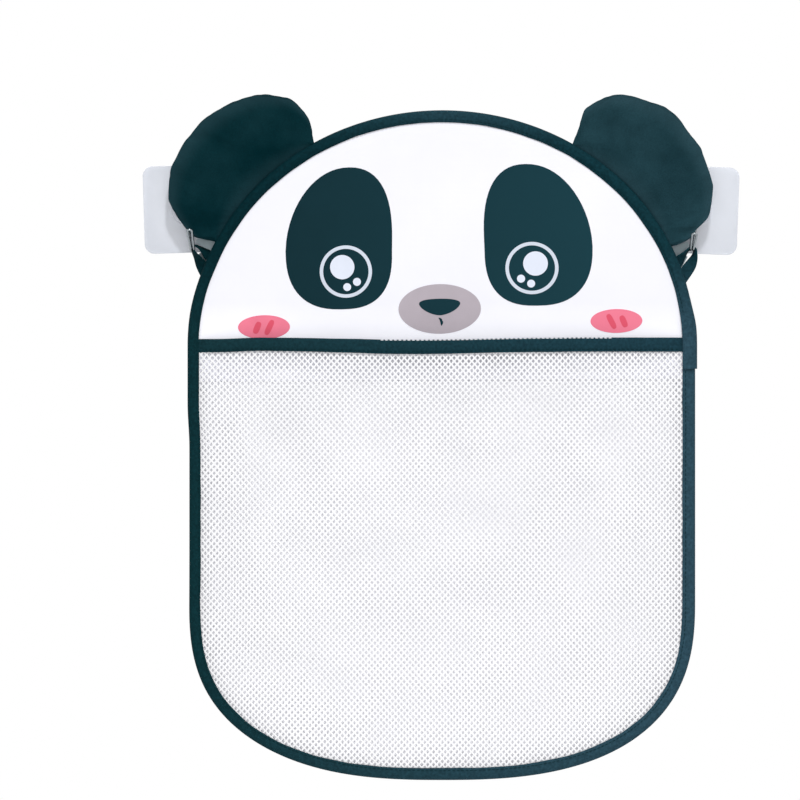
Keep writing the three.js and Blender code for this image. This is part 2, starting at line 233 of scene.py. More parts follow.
def net_yarn(colour):
    """Knitted polyester net: bright yarn with a soft sheen and fine plies, thin enough to let some light through,
    most where it is stretched beside the edge and below the mouth."""
    made, tree, place = new_material("net_yarn", Roughness=0.6, Specular_IOR_Level=0.25)
    spot = place["Object"]
    white = add_mottle(tree, spot, 45 * MM, shaded(colour, 0.97), colour)
    # The plies are 0.1 mm apart, and drawn at 0.5 mm so that they show.
    connect(tree, Base_Color=white, Normal=add_weave(tree, spot, 0.5 * MM, 0.04 * MM))
    aside, height = add_sides(tree, spot)
    least, most = 0.05, 0.08
    slopes = (aside, 105 * MM, 145 * MM, least, most), (height, -160 * MM, -118 * MM, least, most)
    share = add_slopes(tree, "MAXIMUM", slopes)
    solid = tree.nodes["Principled BSDF"].outputs["BSDF"]
    through = add_node(tree, "BsdfTranslucent", None, {"Color": white})["BSDF"]
    mixed = add_node(tree, "MixShader", None, {0: share, 1: solid, 2: through})[0]
    tree.links.new(mixed, tree.nodes["Material Output"].inputs["Surface"])
    return made


def woven_tape(name, left, right):
    """Dyed polyester binding tape: ribs across its width, matt; painted light makes it paler to the right, and
    painted shade makes it darkest beside the ears.
    """
    made, tree, place = new_material(name, Roughness=0.7, Specular_IOR_Level=0.03)
    spot = place["Object"]
    # Painted light: the tape runs from its shaded left colour to its lit right colour.
    painted_light_tone, beside = add_fade(tree, spot, left, right), add_fade(tree, spot, *EAR_PAINTED_SHADE)
    aside, height = add_sides(tree, spot)
    # Painted shade beside the ears: it grows away from the middle and upwards to the ears' height.
    slopes = (aside, -20 * MM, 100 * MM, 0, 1), (height, -85 * MM, -20 * MM, 0, 1)
    ear_shade_mask = add_slopes(tree, "MULTIPLY", slopes)
    tape_in_ear_shade = add_node(tree, "Mix", COLOUR_TIMES, {"Factor": ear_shade_mask, 6: painted_light_tone, 7: beside})[2]
    thread = add_node(tree, "TexNoise", None, {"Vector": spot, "Scale": 1 / (1.6 * MM), "Detail": 2.0})["Fac"]
    # The ribs are 0.4 mm apart, and drawn at 0.9 mm so that they show.
    shape = {"Vector": place["UV"], "Scale": bands(0.9 * MM), "Distortion": 1.2, "Detail": 2.0}
    rib = add_node(tree, "TexWave", None, shape)["Fac"]
    bump = add_node(tree, "Bump", None, {"Height": rib, "Strength": 0.55, "Distance": 0.08 * MM})["Normal"]
    connect(tree, Base_Color=add_tone(tree, tape_in_ear_shade, thread, 0.8, 1.25), Normal=bump)
    return made


def brushed_ear_cloth(name, colour):
    """Dyed brushed polyester: deep and matt, with a soft nap, and a painted sheen that adds grey along the turned
    edge and beside the root.
    """
    made, tree, place = new_material(name, Roughness=0.8, Specular_IOR_Level=0.015)
    spot = place["Object"]
    shape = {"Vector": spot, "Scale": 1 / (0.9 * MM), "Detail": 3.0, "Roughness": 0.6}
    nap = add_node(tree, "TexNoise", None, shape)["Fac"]
    worn = [c * 1.15 + 0.003 for c in colour[:3]] + [1]
    drift = add_mottle(tree, spot, 28 * MM, shaded(colour, 0.78), worn)
    # The ear's map runs from 0 at the root to 1 at the turned edge.
    reach = add_node(tree, "SeparateXYZ", None, {"Vector": place["UV"]})["Y"]
    # Painted sheen: grey added over the outer quarter towards the turned edge, and some beside the root seam.
    raised = add_slopes(tree, "MAXIMUM", ((reach, 0.74, 1.0, 0, 1.0), (reach, 0.24, 0.0, 0, 0.6)))
    with_painted_sheen = {"Factor": raised, 6: add_tone(tree, drift, nap, 0.85, 1.15), 7: EAR_PAINTED_SHEEN}
    bump = add_node(tree, "Bump", None, {"Height": nap, "Strength": 0.4, "Distance": 0.1 * MM})["Normal"]
    connect(tree, Base_Color=add_node(tree, "Mix", COLOUR_SUM, with_painted_sheen)[2], Normal=bump)
    return made


def printed_ink(name, colour, light_fade=1.0):
    """Ink pressed into white cloth: flat colour in which the weave still shows, with painted light that makes it
    paler to the right by the light fade.
    """
    made, tree, place = new_material(name, Roughness=0.7, Specular_IOR_Level=0.03)
    spot = place["Object"]
    # Painted light: darker on the left and paler on the right, each by the light fade.
    left, right = shaded(colour, 1 / light_fade), shaded(colour, light_fade)
    drift = add_mottle(tree, spot, 18 * MM, shaded(left, 0.93), shaded(left, 1.05))
    painted_light_ink = add_fade(tree, spot, drift, shaded(right, 0.99))
    connect(tree, Base_Color=painted_light_ink, Normal=add_weave(tree, spot, 0.8 * MM, 0.05 * MM))
    return made


def sewing_thread(name, colour):
    """Twisted polyester thread: fine plies, a little darker between them."""
    made, tree, place = new_material(name, Roughness=0.6, Specular_IOR_Level=0.03)
    shape = {"Vector": place["Object"], "Scale": bands(0.4 * MM), "Distortion": 0.5}
    ply = add_node(tree, "TexWave", {"bands_direction": "DIAGONAL"}, shape)["Fac"]
    twisted = add_node(tree, "Mix", COLOUR_MIX, {"Factor": ply, 6: shaded(colour, 0.82), 7: colour})[2]
    connect(tree, Base_Color=twisted)
    return made


def clear_film(colour):
    """Flexible clear vinyl on a pale wall: glossy, a little cloudy and blue, with faint flow ripples."""
    made, tree, place = new_material(
        "clear_film", Roughness=0.16, IOR=1.53, Transmission_Weight=0.2, Coat_Weight=0.4, Coat_Roughness=0.08
    )
    spot = place["Object"]
    cloudy = add_mottle(tree, spot, 22 * MM, shaded(colour, 0.95), colour)
    ripple = add_node(tree, "TexNoise", None, {"Vector": spot, "Scale": 1 / (9 * MM), "Detail": 2.0})["Fac"]
    bump = add_node(tree, "Bump", None, {"Height": ripple, "Strength": 0.25, "Distance": 0.2 * MM})["Normal"]
    connect(tree, Base_Color=cloudy, Normal=bump)
    return made


def tacky_glue(colour):
    """Acrylic adhesive seen from its sticky side: clear, soft and slightly uneven."""
    made, tree, place = new_material("tacky_glue", Roughness=0.35, IOR=1.48, Transmission_Weight=0.2)
    uneven = add_mottle(tree, place["Object"], 7 * MM, shaded(colour, 0.9), shaded(colour, 1.03))
    connect(tree, Base_Color=uneven)
    return made


def drawn_steel(colour):
    """Bright drawn steel wire: polished, with fine die lines along it."""
    made, tree, place = new_material("drawn_steel", Metallic=1.0)
    spot = place["Object"]
    streak = add_node(tree, "TexNoise", None, {"Vector": spot, "Scale": 1 / (1.2 * MM), "Detail": 2.0})["Fac"]
    rough = add_node(tree, "MapRange", None, {"Value": streak, "To Min": 0.16, "To Max": 0.34})["Result"]
    bright = add_mottle(tree, spot, 5 * MM, shaded(colour, 0.9), colour)
    connect(tree, Base_Color=bright, Roughness=rough)
    return made


# Shapes


def point(x, depth, z):
    """A place in the row frame, at a depth in front of the wall."""
    return Vector((x, -depth, z))


def smooth_step(value):
    """0 below 0, 1 above 1, and an even turn between them."""
    t = min(1.0, max(0.0, value))
    return t * t * (3 - 2 * t)


def rise_from(value, start, span):
    """0 up to a start in millimetres and 1 after a span of millimetres, with an even turn between them."""
    return smooth_step((value - start * MM) / (span * MM))


def swell(value, middle, reach):
    """1 at a middle in millimetres, falling to nothing over a reach of millimetres on each side."""
    return exp(-(((value - middle * MM) / (reach * MM)) ** 2))


def sewn_point(x, depth, z):
    """A place on the sewn bag, which bulges on the left beside the mouth's seam and is fuller at its lower left."""
    beside = rise_from(z, -155, 30) * rise_from(-z, 28, 45) * rise_from(-x, 110, 45)
    corner = swell(x, -135, 52) * swell(z, -328, 52)
    return point(x - 1.2 * MM * (beside + corner), depth, z + 1.3 * MM * corner)


def distances(corners):
    """How far along a line of corners each one lies."""
    steps = np.diff(np.array(corners, float), axis=0)
    return np.concatenate([[0], np.cumsum(np.linalg.norm(steps, axis=1))])


def even_walk(corners, count):
    """This many places evenly along a line of corners, its end included, and the line's length."""
    along = distances(corners)
    at = np.linspace(0, along[-1], count)
    return np.stack([np.interp(at, along, axis) for axis in np.array(corners, float).T], axis=1), along[-1]


def bag_edge():
    """The outline as a dense line of (x, z), anticlockwise from the right shoulder."""
    corners = []
    for a in (pi * i / 240 for i in range(241)):
        corners.append((HALF_WIDTH * cos(a), SHOULDER_Z + DOME_RISE * sin(a)))
    for a in (pi * i / 360 for i in range(361)):
        x = -abs(cos(a)) ** (2 / BASE_POWER) * (1 if a < pi / 2 else -1)
        corners.append((HALF_WIDTH * x, BASE_Z - BASE_DROP * abs(sin(a)) ** (2 / BASE_POWER)))
    return [*corners, corners[0]]


EDGE, EDGE_LENGTH = even_walk(bag_edge(), 2400)
EDGE_TREE = KDTree(len(EDGE))
for index, (edge_x, edge_z) in enumerate(EDGE):
    EDGE_TREE.insert((edge_x, 0, edge_z), index)
EDGE_TREE.balance()


def edge_stations(count):
    """Places round the outline with the inward direction at each; the last repeats the first."""
    places, _ = even_walk(EDGE, count + 1)
    ahead = np.roll(places[:-1], -1, axis=0) - np.roll(places[:-1], 1, axis=0)
    ahead /= np.linalg.norm(ahead, axis=1)[:, None]
    inward = np.stack([-ahead[:, 1], ahead[:, 0]], axis=1)
    return places, np.concatenate([inward, inward[:1]])


def edge_distance(x, z):
    """How far a place inside the outline is from it."""
    return EDGE_TREE.find((x, 0, z))[2]


def inside_bag(x, z):
    """True within the outline."""
    if z > SHOULDER_Z:
        return (x / HALF_WIDTH) ** 2 + ((z - SHOULDER_Z) / DOME_RISE) ** 2 < 1
    fall = max(0.0, BASE_Z - z) / BASE_DROP
    return fall < 1 and abs(x) < HALF_WIDTH * (1 - fall**BASE_POWER) ** (1 / BASE_POWER)


def wander(x, z, size, seed=0.0):
    """Smooth noise from -1 to 1 that changes over this many millimetres."""
    return noise.noise(Vector((x / (size * MM), seed, z / (size * MM))))


def of_kind(geometry, kind):
    """The vertices, edges or faces among what an operator made."""
    return [g for g in geometry if isinstance(g, kind)]


def loft(bm, rows, across=None, along=None):
    """Lays the first row of points as a chain of edges and extrudes it from row to row. With the two lists it also
    lays a UV map in metres, along the row and from row to row."""
    verts = [bm.verts.new(p) for p in rows[0]]
    edges = [bm.edges.new(pair) for pair in zip(verts, verts[1:])]
    grid = [verts]
    for row in rows[1:]:
        made = bmesh.ops.extrude_edge_only(bm, edges=edges)["geom"]
        fresh = set(of_kind(made, bmesh.types.BMVert))
        follow = {e.other_vert(v): v for v in fresh for e in v.link_edges if e.other_vert(v) not in fresh}
        edges = [e for e in of_kind(made, bmesh.types.BMEdge) if set(e.verts) <= fresh]
        verts = [follow[v] for v in verts]
        for vert, place in zip(verts, row):
            vert.co = place
        grid.append(verts)
    if along is not None:
        lay = bm.loops.layers.uv.verify()
        spot = {v: (u, w) for verts, w in zip(grid, across) for v, u in zip(verts, along)}
        for loop in (loop for face in bm.faces for loop in face.loops):
            if loop.vert in spot:
                loop[lay].uv = spot[loop.vert]
    return grid


def weld(bm):
    """Closes seams and poles and turns the faces outwards."""
    bmesh.ops.remove_doubles(bm, verts=bm.verts[:], dist=MERGE)
    bmesh.ops.dissolve_degenerate(bm, edges=bm.edges[:], dist=MERGE)
    bmesh.ops.recalc_face_normals(bm, faces=bm.faces[:])


def cap_ends(bm):
    """Closes a lofted tube along its side and at its ends."""
    bmesh.ops.remove_doubles(bm, verts=bm.verts[:], dist=MERGE)
    bmesh.ops.holes_fill(bm, edges=[e for e in bm.edges if e.is_boundary], sides=0)
    bmesh.ops.recalc_face_normals(bm, faces=bm.faces[:])


def turn_if(bm, wrong):
    """Turns a sheet's faces round where they look the wrong way."""
    if wrong:
        bmesh.ops.reverse_faces(bm, faces=bm.faces[:])


def face_front(bm):
    """Turns a sheet's faces to the front."""
    turn_if(bm, sum(f.normal.y * f.calc_area() for f in bm.faces) > 0)


def thicken(bm, thickness):
    """Gives a sheet its thickness, away from the side its normals show."""
    bmesh.ops.solidify(bm, geom=bm.faces[:] + bm.edges[:] + bm.verts[:], thickness=thickness)
    bmesh.ops.recalc_face_normals(bm, faces=bm.faces[:])


def make_piece(bm, name, *materials):
    """A smooth-shaded object of this mesh, at the origin."""
    mesh = bpy.data.meshes.new(name)
    bm.to_mesh(mesh)
    bm.free()
    mesh.shade_smooth()
    mesh.set_sharp_from_angle(angle=radians(50))
    for material in materials:
        mesh.materials.append(material)
    made = bpy.data.objects.new(name, mesh)
    bpy.context.scene.collection.objects.link(made)
    return made


def round_tubes(lines, radius, resolution):
    """A mesh of round threads or wires with closed ends, one along each line of (place, share of the radius)."""
    curve = bpy.data.curves.new("tube", "CURVE")
    curve.dimensions = "3D"
    curve.bevel_depth = radius
    curve.bevel_resolution = resolution
    curve.use_fill_caps = True
    for line in lines:
        spline = curve.splines.new("POLY")
        spline.points.add(len(line) - 1)
        for knot, (place, share) in zip(spline.points, line):
            knot.co = (*place, 1)
            knot.radius = share
    rough = bpy.data.objects.new("tube", curve)
    mesh = bpy.data.meshes.new_from_object(rough)
    bpy.data.objects.remove(rough)
    bpy.data.curves.remove(curve)
    return mesh


def join(bm, mesh, material=0):
    """Adds a mesh to another with one of its materials, and removes the spare copy."""
    mesh.polygons.foreach_set("material_index", [material] * len(mesh.polygons))
    bm.from_mesh(mesh)
    bpy.data.meshes.remove(mesh)


def sew(bm, places, length, thickness, material=0):
    """Lays one stitch at each (place, direction), thinner where it dives into the cloth."""
    lines = []
    for place, direction in places:
        half = direction.normalized() * length / 2
        lines.append([(place + half * at, share) for at, share in ((-1, 0.3), (-0.6, 1), (0.6, 1), (1, 0.3))])
    join(bm, round_tubes(lines, thickness / 2, 1), material)


def curve_through(points, count):
    """A smooth line through these points, evenly spaced."""
    p = [Vector(q) for q in points]
    p = [2 * p[0] - p[1], *p, 2 * p[-1] - p[-2]]
    fine = []
    for a, b, c, d in zip(p, p[1:], p[2:], p[3:]):
        bend, twist = 2 * a - 5 * b + 4 * c - d, 3 * b - a - 3 * c + d
        for t in (i / 12 for i in range(12)):
            fine.append(0.5 * (2 * b + (c - a) * t + bend * t * t + twist * t**3))
    fine.append(p[-2])
    return [Vector(q) for q in even_walk(fine, count)[0]]


def flat_curve(pairs, count):
    """A smooth line against the wall through places of (x, z) in millimetres."""
    return curve_through([(x * MM, 0, z * MM) for x, z in pairs], count)


def direction_at(line, i):
    """Which way a line of points runs at one of them."""
    return (line[min(i + 1, len(line) - 1)] - line[max(i - 1, 0)]).normalized()


def head_depth(x, z):
    """The front of the padded head: a low crown that runs out at the binding and at the pocket's mouth."""
    edge = edge_distance(x, z)
    above = z - MOUTH_TOP_Z
    rise = (0.4 * rise_from(edge, 5, 8) + 0.6 * rise_from(edge, 0, 70)) * rise_from(above, -20, 80)
    slack = 0.25 * MM * wander(x, z, 34) * rise_from(edge, 0, 14) * rise
    pucker = 0.12 * MM * swell(edge, 10, 5) * wander(x, z, 7, 3) if above > 0 else 0
    thin = 2.2 * MM * rise_from(-above, 9, 14)
    return HEAD_FRONT_DEPTH + 1.2 * MM * rise + slack - thin + pucker


def net_depth(x, z, bow):
    """The middle of the net: held down under the binding and standing off the back, most at the mouth's middle."""
    height = min(1.0, max(0.0, (z - POCKET_BOTTOM_Z) / (MOUTH_TOP_Z - POCKET_BOTTOM_Z)))
    fall = min(1.0, max(0.0, BASE_Z - z) / (BASE_DROP - NET_INSET))
    half = max(1 * MM, (HALF_WIDTH - NET_INSET) * (1 - fall**BASE_POWER) ** (1 / BASE_POWER))
    lift = bow * max(0.0, 1 - (x / half) ** 2) * sin(height * pi / 2)
    edge = edge_distance(x, z)
    slack = 0.7 * MM * wander(x, z, 48, 5) * rise_from(edge, 10, 40)
    return NET_EDGE_DEPTH + (NET_DEPTH - NET_EDGE_DEPTH) * rise_from(edge, 6, 9) + lift + slack


def mouth_sag(x):
    """How much of the mouth's sag a place along it has, most just left of the middle."""
    return swell(x, -18, 60)


def mouth_top(x):
    """The top of the pocket's mouth, which sags in the middle and droops at the left end."""
    return MOUTH_TOP_Z + (0.9 - 1.5 * mouth_sag(x) - rise_from(-x, 115, 35)) * MM


# Sizes and colours that a user may change


def length(name, description, millimetres):
    """A length that a user may change."""
    return FloatProperty(
        name=name, description=description, default=millimetres * MM, min=0, unit="LENGTH", precision=5
    )


def tint(name, description, hex_colour):
    """A colour that a user may change."""
    return FloatVectorProperty(
        name=name, description=description, subtype="COLOR", size=4, min=0, max=1, default=linear(hex_colour)
    )


class BagSizes(bpy.types.PropertyGroup):
    """Sizes of the sewn pieces."""

    tape_width: length("Tape width", "Width of the binding on each side of the edge", 8)
    mouth_width: length("Mouth tape width", "Width of the tape on each side of the mouth", 8.6)
    tape_thickness: length("Tape thickness", "Thickness of the binding tape", 0.8)
    stitch_pitch: length("Stitch pitch", "Distance from one stitch to the next", 2.9)
    thread: length("Thread", "Thickness of the sewing thread", 0.42)
    net_column: length("Net column", "Distance from hole to hole along a row of the net", 3.8)
    net_row: length("Net row", "Distance from one row of holes to the next", 2.08)
    strand: length("Strand", "Width of a strand of the net", 1.06)
    net_bow: length("Net bow", "How far the pocket stands off the bag at its mouth", 7.5)
    ear_puff: length("Ear puff", "Thickness of the wadding in an ear before it is puffed up", 3.6)
    wire: length("Wire", "Thickness of the hook's wire", 1.5)
    edge_steps: IntProperty(name="Edge steps", description="Places round the binding", default=420, min=60)


class BagColours(bpy.types.PropertyGroup):
    """Colours of the cloths, inks, film and wire."""

    cloth: tint("Head cloth", "White of the head", "#F2F2F9")
    back: tint("Back cloth", "White of the cloth behind the net", "#FAFAFE")
    net: tint("Net", "White of the net", "#FDFDFF")
    # Painted light: each of these pairs is one tape, shaded darker on the left and lit paler on the right.
    tape_left: tint("Tape, left", "Binding tape on the left side", "#0A2C31")
    tape_right: tint("Tape, right", "Binding tape on the right side", "#2B4653")
    mouth_left_shaded: tint("Mouth tape, left", "Tape of the pocket's mouth on the left side", "#123036")
    mouth_right_lit: tint("Mouth tape, right", "Tape of the pocket's mouth on the right side", "#1B3843")
    # Painted light: one cloth for both ears, shaded darker on the left and lit paler on the right.
    ear_left_shaded: tint("Left ear", "Cloth of the left ear", "#02262C")
    ear_right_lit: tint("Right ear", "Cloth of the right ear", "#1B3840")
    ink_dark: tint("Dark ink", "Eye patches and nose", "#15333B")
    ink_pale: tint("Pale ink", "Eye rings", "#D0D8E5")
    ink_light: tint("Light ink", "Glints of the eyes", "#E0E6F4")
    ink_grey: tint("Grey ink", "Muzzle", "#B4ABB3")
    ink_pink: tint("Pink ink", "Cheeks", "#F08097")
    ink_rose: tint("Rose ink", "Strokes on the cheeks", "#DF586E")
    thread: tint("Pale thread", "Stitches along the pocket's mouth", "#F1F3F8")
    lining: tint("Strap lining", "Grey reverse of the hanging straps", "#B4C3C9")
    film: tint("Film", "Clear pads and bosses", "#E8ECF5")
    steel: tint("Steel", "Hook wire", "#9AA1A5")


# Operators


def sheet_of_rings(border, centre, rings, depth_at):
    """A sheet inside a border, in rings that close on its centre."""
    rows = []
    for i in range(rings + 1):
        row = [centre.lerp(p, 1 - (i / rings) ** 1.15) for p in border]
        rows.append([sewn_point(p.x, depth_at(p.x, p.y), p.y) for p in row])
    bm = bmesh.new()
    loft(bm, rows)
    weld(bm)
    face_front(bm)
    return bm


def back_depth(x, z):
    """The front of the back cloth, which hangs a little slack between its seams."""
    return BACK_CLOTH_DEPTH + 0.12 * MM * (wander(x, z, 55, 9) - 1) * rise_from(edge_distance(x, z), 0, 20)


class BATHBAG_OT_sheets(bpy.types.Operator):
    """Makes the padded head panel and the back cloth"""

    bl_idname = "bathbag.sheets"
    bl_label = "Head and Back"

    def execute(self, context):
        colours = context.scene.bathbag_colours
        places, inward = edge_stations(360)
        tucked, sewn = [[Vector(p + n * inset * MM) for p, n in zip(places, inward)] for inset in (3, 1.8)]
        head_edge = [p for p in tucked if p.y > HEAD_BOTTOM_Z]
        split = max(range(1, len(head_edge)), key=lambda i: (head_edge[i] - head_edge[i - 1]).length)
        head_edge = head_edge[split:] + head_edge[:split]
        bottom = [head_edge[-1].lerp(head_edge[0], i / 60) for i in range(1, 61)]
        bm = sheet_of_rings(head_edge + bottom, Vector((0, -20 * MM)), 46, head_depth)
        thicken(bm, HEAD_FRONT_DEPTH - HEAD_BACK_DEPTH)
        # The panel's back stays in front of the back cloth where its front thins to the hem.
        for vert in bm.verts:
            vert.co.y = min(vert.co.y, -HEAD_BACK_DEPTH)
        # The head gets painted shade below the mouth and painted light above it.
        head = make_piece(bm, "head_panel", white_cloth("head_cloth", colours.cloth, painted_shade_below_mouth=0.6, painted_light_at_mouth=1.12))
        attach(head, "bag")
        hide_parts("face_panel", "head_foam")

        bm = sheet_of_rings(sewn, Vector((0, -150 * MM)), 40, back_depth)
        thicken(bm, 0.6 * MM)
        back = make_piece(bm, "back_cloth", white_cloth("back_cloth", colours.back))
        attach(back, "bag")
        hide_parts("back_panel")
        return {"FINISHED"}


def tape_fold(width):
    """The outside of the folded tape as (inset, depth), from its front edge round to its back edge."""
    insets = [width, width - 0.5 * MM, width - 2 * MM] + [q * MM for q in (3.4, 2.1, 1.0, 0.3, 0.0)]
    depths = (18.1, 18.45, 18.6, 18.6, 18.3, 17.6, 16.5, 15.1, 13.6, 12.5, 11.85, 11.6, 11.6, 11.75, 12.05)
    return [Vector((inset, depth * MM)) for inset, depth in zip(insets + insets[-2::-1], depths)]


def fold_tape(places, inward, fold, sizes, grow):
    """A tape folded over these places of the edge, a little unevenly, as sewing leaves it, and wider to the right."""
    rows = []
    for at in fold:
        out = Vector((at.x - fold[0].x / 2, (at.y - EAR_DEPTH) * 1.6)).normalized()
        out.x = min(out.x, 0)
        free = rise_from(at.x, 3, 3)
        front = at.y > EAR_DEPTH
        row = []
        for (x, z), n in zip(places, inward):
            spot = at + out * grow(z)
            uneven = 0.28 * wander(x, z, 13, 1 if front else 2) + 0.5 * x / HALF_WIDTH
            inset = spot.x + uneven * MM * free
            pressed = 0.7 * rise_from(z - MOUTH_TOP_Z, 0, 20) * rise_from(at.x, 4, 4) if front else 0
            depth = spot.y + (0.1 * wander(x, z, 9, 4) - pressed) * MM
            row.append(sewn_point(x + n[0] * inset, depth, z + n[1] * inset))
        rows.append(row)
    step = EDGE_LENGTH / sizes.edge_steps
    bm = bmesh.new()
    loft(bm, rows, distances(fold), [i * step for i in range(len(places))])
    weld(bm)
    turn_if(bm, sum(f.normal.y * (f.calc_center_median().y + EAR_DEPTH) for f in bm.faces) < 0)
    thicken(bm, sizes.tape_thickness)
    return bm


class BATHBAG_OT_binding(bpy.types.Operator):
    """Folds the binding tape round the edge, laps its end and sews it"""

    bl_idname = "bathbag.binding"
    bl_label = "Edge Binding"

    def execute(self, context):
        sizes = context.scene.bathbag_sizes
        colours = context.scene.bathbag_colours
        tape = woven_tape("woven_tape", colours.tape_left, colours.tape_right)
        places, inward = edge_stations(sizes.edge_steps)
        fold = tape_fold(sizes.tape_width)
        binding = make_piece(fold_tape(places, inward, fold, sizes, lambda z: 0.0), "edge_binding_tape", tape)

        # The tape's end laps over its start on the right side, and stands off it more towards its cut.
        lapped = [i for i, (x, z) in enumerate(places) if x > 0 and -104.5 * MM < z < -56 * MM]
        split = next((i for i in range(1, len(lapped)) if lapped[i] != lapped[i - 1] + 1), 0)
        lapped = lapped[split:] + lapped[:split]
        bm = fold_tape(
            places[lapped], inward[lapped], fold, sizes, lambda z: (0.1 + 1.2 * rise_from(-z, 58, 20)) * MM
        )
        lap = make_piece(bm, "binding_lap", tape)

        bm = bmesh.new()
        count = round(EDGE_LENGTH / sizes.stitch_pitch)
        marks, marks_in = edge_stations(count)
        for depth in (18.68 * MM, 11.55 * MM):
            seam = []
            for mark, n in list(zip(marks, marks_in))[:count]:
                x, z = mark + n * (sizes.tape_width - 1.6 * MM)
                seam.append((sewn_point(x, depth, z), Vector((-n[1], 0, n[0]))))
            sew(bm, seam, sizes.stitch_pitch * 0.72, sizes.thread)
        weld(bm)
        stitches = make_piece(bm, "binding_stitches", sewing_thread("dark_thread", colours.tape_left))
        for piece in (binding, lap, stitches):
            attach(piece, "bag")
        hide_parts("edge_binding")
        return {"FINISHED"}


def open_blend(piece):
    """Bakes a half of the pocket's placement into its mesh."""
    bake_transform(piece)


def net_half(bm, side, sizes):
    """Half of the net: a lattice of cells, each pierced by a rounded hole, with yarns that thin to its edge."""
    column, row = sizes.net_column / 2, sizes.net_row
    steps = 2 * round((HALF_WIDTH / 2 / column + 145 * MM / row) / 2) + 4
    shift = side * round(HALF_WIDTH / 2 / column / 2) * 2 * column
    middle_z = (MOUTH_TOP_Z + POCKET_BOTTOM_Z) / 2
    lattice = Matrix(((column, column, 0, shift), (0, 0, 0, 0), (row, -row, 0, middle_z), (0, 0, 0, 1)))
    bmesh.ops.create_grid(bm, x_segments=steps, y_segments=steps, size=steps / 2, matrix=lattice)

    def outside(face):
        at = face.calc_center_median()
        if at.z > mouth_top(at.x) - 2.4 * MM or (at.x > -column / 2) != (side > 0) or not inside_bag(at.x, at.z):
            return True
        return edge_distance(at.x, at.z) < 3.6 * MM

    bmesh.ops.delete(bm, geom=[f for f in bm.faces if outside(f)], context="FACES")
    bmesh.ops.bisect_edges(bm, edges=bm.edges[:], cuts=1)
    cells = bm.faces[:]
    ridge = 0.16 * MM
    for vert in bm.verts:
        vert.co.y = -ridge
    bmesh.ops.inset_individual(bm, faces=cells, thickness=sizes.strand / 2, use_even_offset=True)
    rim = [e for e in bm.edges if e.is_boundary]
    for cell in cells:
        middle = cell.calc_center_median()
        grown = 1 + 0.14 * wander(middle.x, middle.z, 26, 7)
        arms = [(v, v.co - middle) for v in cell.verts]
        mean = sum(hypot(a.x, a.z) for _, a in arms) / len(arms)
        for vert, arm in arms:
            pull = grown * (0.82 + 0.18 * mean / hypot(arm.x, arm.z))
            vert.co = Vector((middle.x + arm.x * pull * 0.9, 0, middle.z + arm.z * pull * 1.08))
    bmesh.ops.delete(bm, geom=cells, context="FACES_ONLY")
    copied = bmesh.ops.duplicate(bm, geom=bm.verts[:] + bm.edges[:] + bm.faces[:])["geom"]
    for vert in of_kind(copied, bmesh.types.BMVert):
        vert.co.y *= -1
    bmesh.ops.reverse_faces(bm, faces=of_kind(copied, bmesh.types.BMFace))
    closed = bmesh.ops.extrude_edge_only(bm, edges=rim)["geom"]
    bmesh.ops.translate(bm, vec=(0, 2 * ridge, 0), verts=of_kind(closed, bmesh.types.BMVert))
    bmesh.ops.remove_doubles(bm, verts=bm.verts[:], dist=MERGE)
    for vert in bm.verts:
        x, relief, z = vert.co
        slip = 0.1 * MM * wander(x, z, 5, 11)
        vert.co = sewn_point(x, net_depth(x, z, sizes.net_bow) - relief, z + slip)
    bmesh.ops.recalc_face_normals(bm, faces=bm.faces[:])


def mouth_half(bm, side, sizes):
    """Half of the tape folded over the net's top edge, with its rows of stitches."""
    width, pitch, steps = sizes.mouth_width, sizes.stitch_pitch, 100
    reach = HALF_WIDTH - 4 * MM
    drops = [width, width - 0.4 * MM, width / 2] + [q * MM for q in (1.2, 0.3, 0, 0.3, 1.2)] + [width / 2, width]
    fold = list(zip(drops, [q * MM for q in (1.05, 1.3, 1.4, 1.3, 0.8, 0, -0.8, -1.2, -1.25, -1.1)]))

    def place(x, drop, proud):
        top = mouth_top(x) + 0.1 * MM * wander(x, 0, 16, 6)
        squeeze = 0.3 + 0.7 * rise_from(edge_distance(x, top), 7, 8)
        drop *= 1 + 0.07 * rise_from(x, 0, 80) + 0.09 * mouth_sag(x)
        return sewn_point(x, net_depth(x, top - width / 2, sizes.net_bow) + proud * squeeze, top - drop)

    xs = [side * reach * i / steps for i in range(steps + 1)]
    rows = [[place(x, drop, proud) for x in xs] for drop, proud in fold]
    loft(bm, rows, distances(fold), [abs(x) for x in xs])
    weld(bm)
    turn_if(bm, min(bm.faces, key=lambda f: f.calc_center_median().y).normal.y > 0)
    thicken(bm, 0.5 * MM)
    # The pale row is thicker and shows over the middle of the mouth, and the dark row holds the tape below.
    for low, high, drop, proud, share, thick, material in (
        (-40 * MM, 110 * MM, 0.35 * MM, 0.95 * MM, 0.72, 1.5, 1),
        (8 * MM - reach, reach - 8 * MM, width - 1.4 * MM, 1.5 * MM, 0.68, 1, 2),
    ):
        seam = []
        for x in (side * (i + 0.5) * pitch for i in range(int(reach / pitch))):
            if low < x < high:
                ahead = place(x + 1 * MM, drop, proud) - place(x - 1 * MM, drop, proud)
                seam.append((place(x, drop, proud), ahead))
        sew(bm, seam, pitch * share, sizes.thread * thick, material)
    weld(bm)


